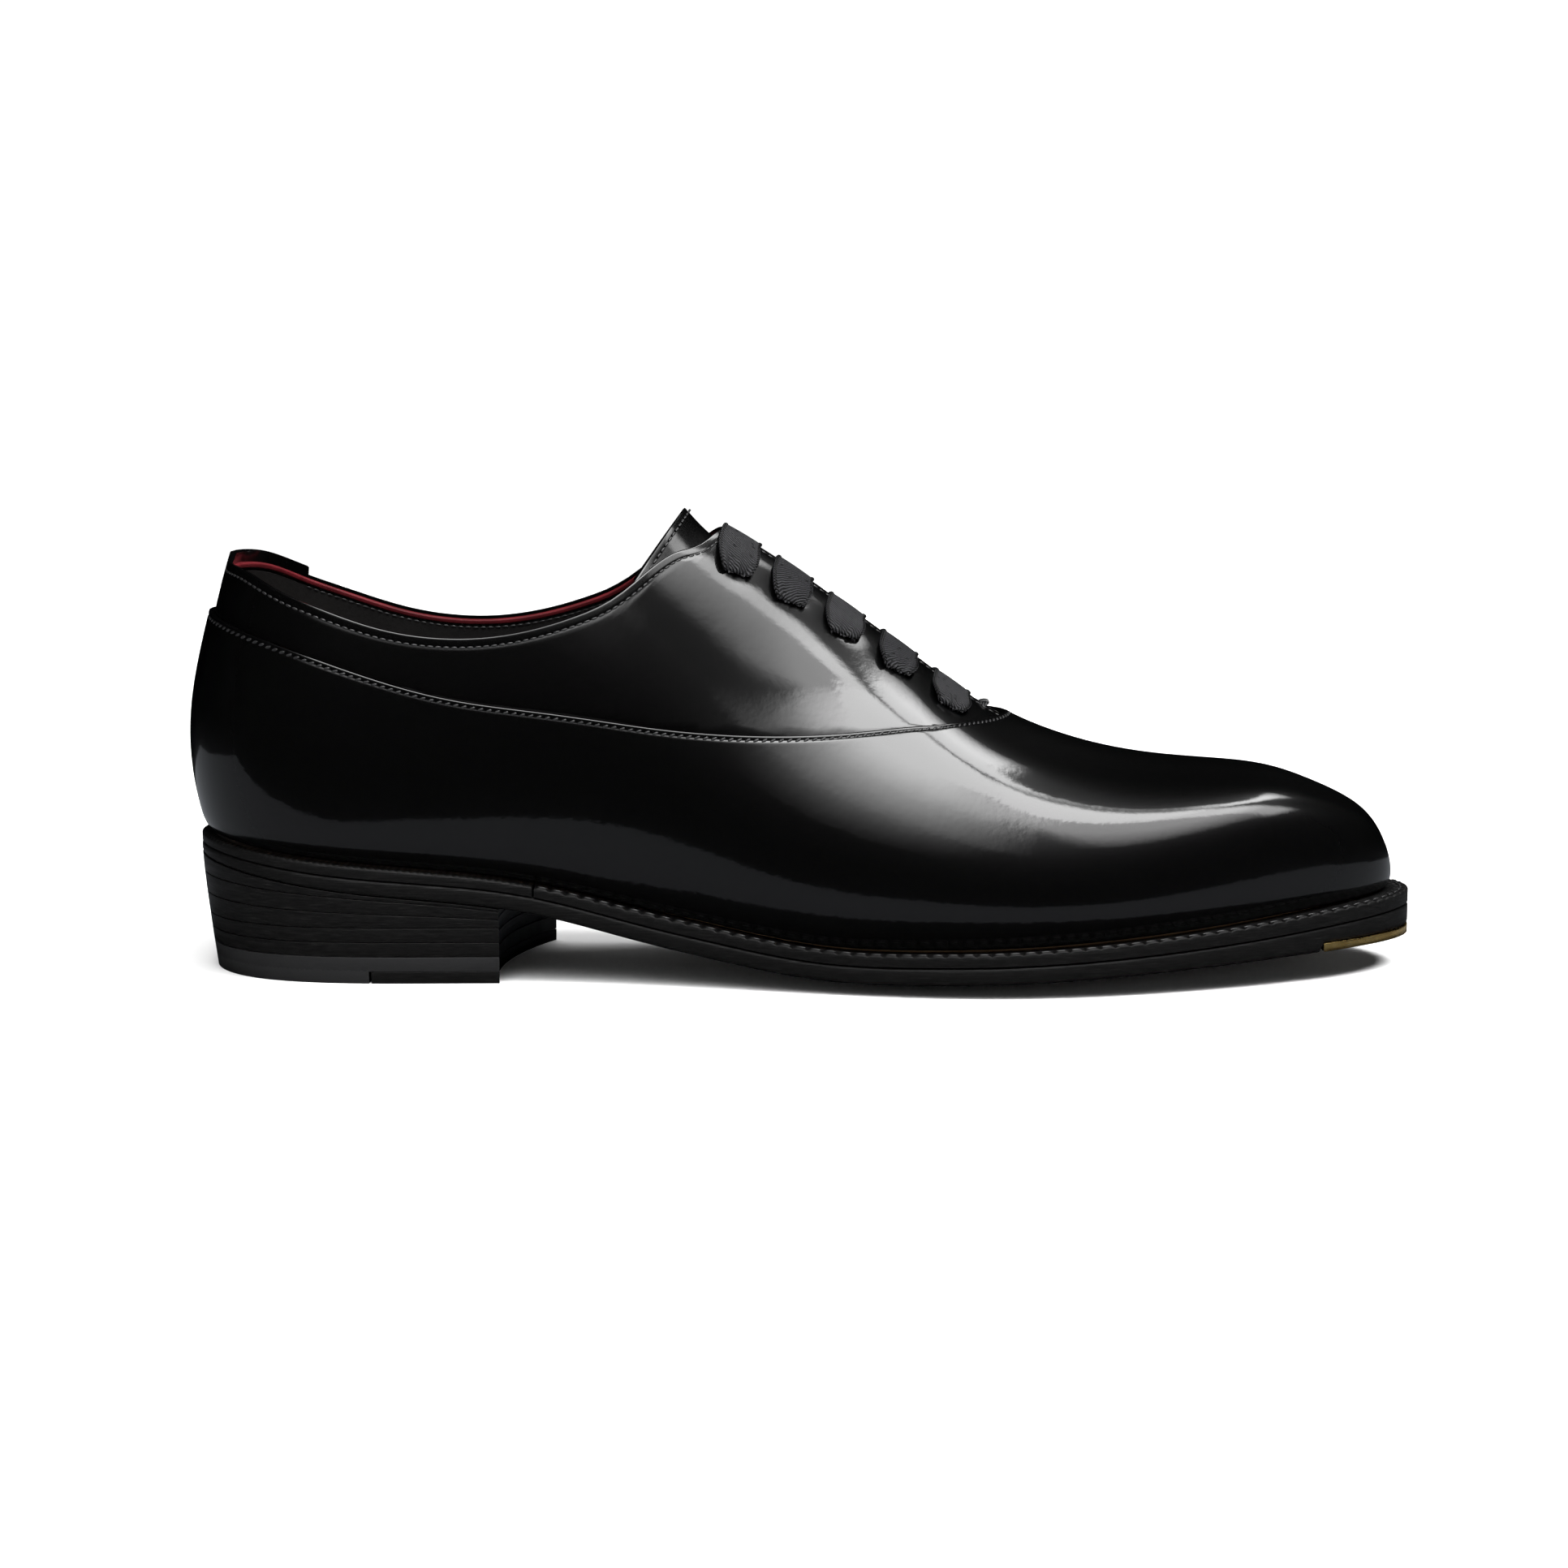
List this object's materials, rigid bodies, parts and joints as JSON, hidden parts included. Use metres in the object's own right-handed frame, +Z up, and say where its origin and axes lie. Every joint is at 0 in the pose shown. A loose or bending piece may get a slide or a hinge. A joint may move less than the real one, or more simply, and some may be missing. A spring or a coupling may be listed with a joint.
{
  "type": "leather oxford shoe",
  "caption": "Right-foot balmoral oxford shoe in black patent leather with flat ribbon laces, welted leather sole, stacked heel and brass toe plate.",
  "frame": {"origin": "middle of the heel's flat ground face, on the floor", "axes": "+X towards the toe, +Y towards the inner (medial) side of this right shoe, +Z up"},
  "size_m": [0.3022, 0.1032, 0.1131],
  "materials": {
    "patent_leather": "black patent, mirror gloss",
    "black_lining": "black lining leather, matte",
    "red_tape": "red tape",
    "ribbon": "black twill ribbon",
    "aglet": "black gloss",
    "thread": "black waxed thread",
    "raw_leather": "undyed, matte",
    "cork": "cork paste",
    "spring_steel": "plain",
    "sole_edge": "black waxed edge, satin",
    "heel_rubber": "black matte",
    "brass": "brushed"
  },
  "bodies": {
    "shoe": {"galosh": "patent_leather", "quarter_lateral": "patent_leather", "quarter_medial": "patent_leather", "vamp_lining": "black_lining", "quarter_lining_lateral": "black_lining", "quarter_lining_medial": "black_lining", "sock": "black_lining", "topline_tape": "red_tape", "lace": "ribbon", "aglet_front": "aglet", "aglet_rear": "aglet", "throat_tack": "thread", "heel_counter": "raw_leather", "toe_puff": "raw_leather", "side_lining_lateral": "raw_leather", "side_lining_medial": "raw_leather", "insole": "raw_leather", "cork_filler": "cork", "shank": "spring_steel", "welt": "sole_edge", "heel_rand": "sole_edge", "outsole": "sole_edge", "heel_lift_1": "sole_edge", "heel_lift_2": "sole_edge", "heel_lift_3": "sole_edge", "heel_lift_4": "sole_edge", "heel_lift_5": "sole_edge", "top_piece": "heel_rubber", "top_piece_insert": "sole_edge", "toe_plate": "brass", "toe_screw_1": "brass", "toe_screw_2": "brass", "toe_screw_3": "brass"},
    "tongue": {"tongue": "patent_leather", "tongue_lining": "black_lining"}
  },
  "joints": [
    {"name": "tongue_swing", "type": "hinge", "parent": "shoe", "child": "tongue", "pos_m": [0.167, 0, 0.05586], "axis": [0, -1, 0], "range_deg": [0, 12], "stiffness_Nm_per_rad": 0.2, "springref_deg": -6.88}
  ]
}
